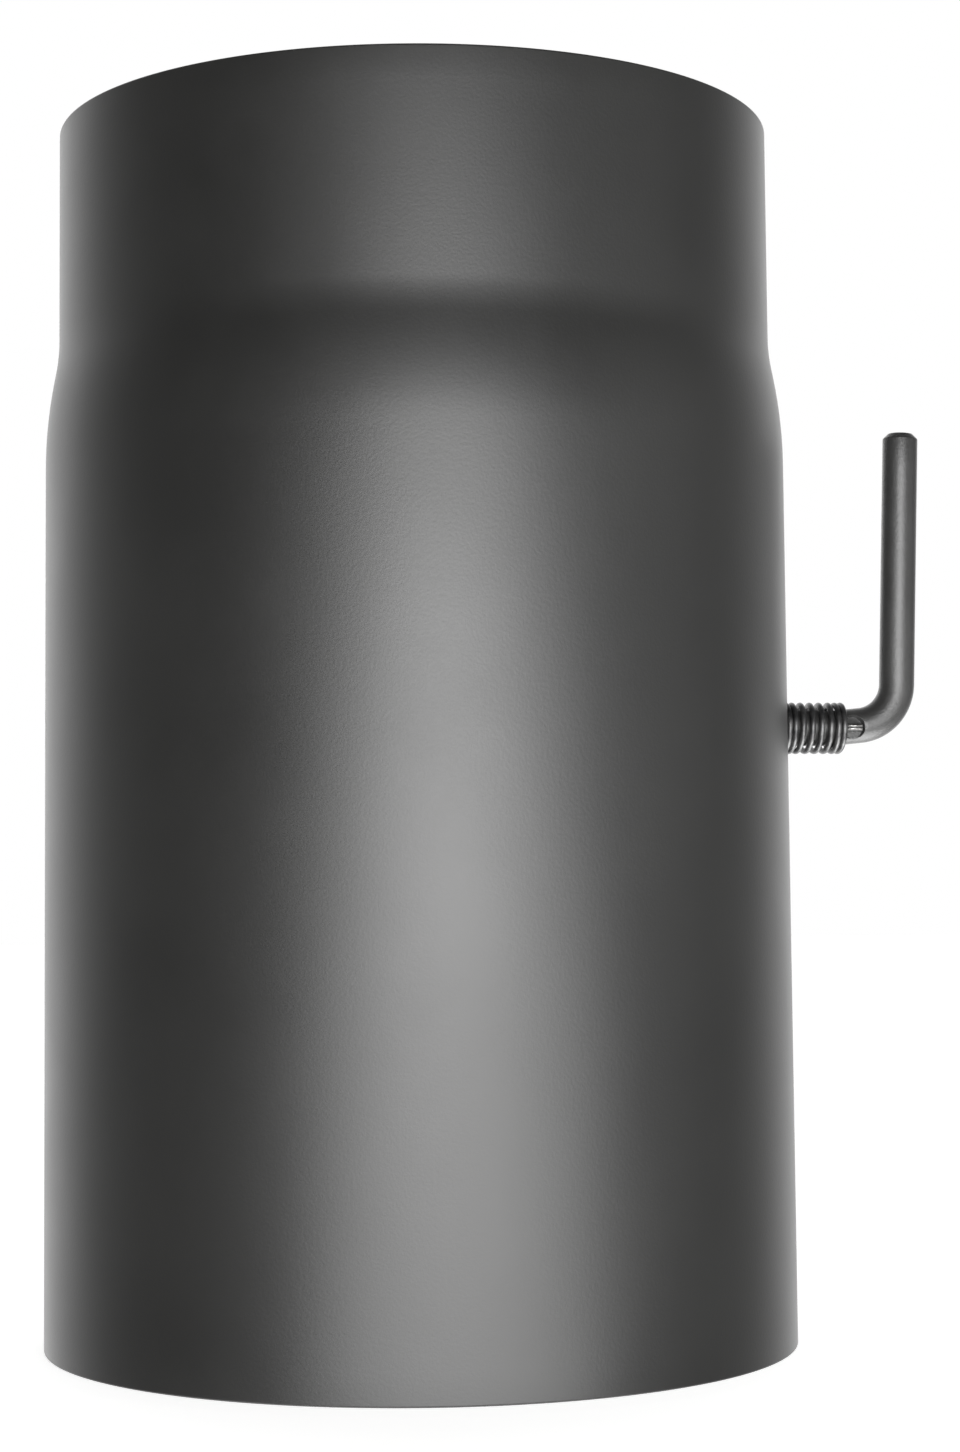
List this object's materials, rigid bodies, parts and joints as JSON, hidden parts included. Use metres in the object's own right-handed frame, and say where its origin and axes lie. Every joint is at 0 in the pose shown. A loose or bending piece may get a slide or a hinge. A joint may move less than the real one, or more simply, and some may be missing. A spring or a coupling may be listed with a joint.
{
  "type": "stove pipe damper",
  "caption": "Short round flue pipe with a drawn-in neck and a plate inside that a spring-loaded bent bar handle turns to throttle the draught.",
  "frame": {"origin": "centre of the pipe's wide lower mouth, in the plane of its rim", "axes": "+Z along the pipe towards the narrow neck, +X along the spindle towards the handle, -Y towards the viewer of the picture"},
  "size_m": [0.1868, 0.154, 0.25],
  "materials": {
    "pipe_paint": "matte",
    "bar_paint": "satin",
    "spring_steel": "satin",
    "plate_steel": "satin",
    "rivet_steel": "satin"
  },
  "bodies": {
    "pipe": {"flue_pipe": "pipe_paint"},
    "damper": {"handle_spindle": "bar_paint", "friction_spring": "spring_steel", "damper_plate": "plate_steel", "plate_rivets": "rivet_steel"}
  },
  "joints": [
    {"name": "damper_turn", "type": "hinge", "parent": "pipe", "child": "damper", "pos_m": [0, 0, 0.126], "axis": [1, 0, 0], "continuous": true}
  ]
}
